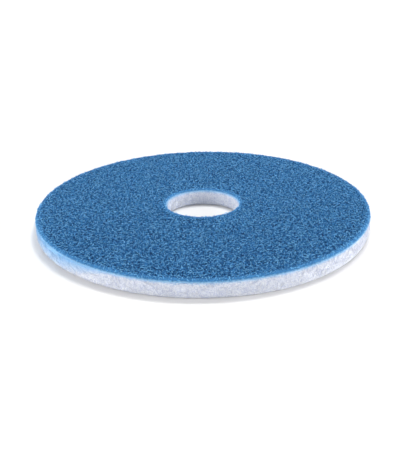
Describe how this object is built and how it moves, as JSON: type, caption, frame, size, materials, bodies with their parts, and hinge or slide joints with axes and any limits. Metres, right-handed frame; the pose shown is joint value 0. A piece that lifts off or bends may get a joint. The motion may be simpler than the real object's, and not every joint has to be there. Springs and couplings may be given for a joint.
{
  "type": "floor polishing pad",
  "caption": "Round non-woven floor polishing pad, a blue open web bonded over a white fibre body, with a centre hole.",
  "frame": {"origin": "middle of the flat underside, on the axis of the centre hole", "axes": "+Z along the pad's axis, out of the blue face; X and Y lie in the underside and are alike"},
  "size_m": [0.406, 0.406, 0.023],
  "materials": {
    "white_fibre": "matt lofted fibre",
    "blue_web": "matt coarse open web, resin bonded"
  },
  "bodies": {
    "root": {"white_fibre_body": "white_fibre", "blue_abrasive_web": "blue_web"}
  },
  "joints": []
}
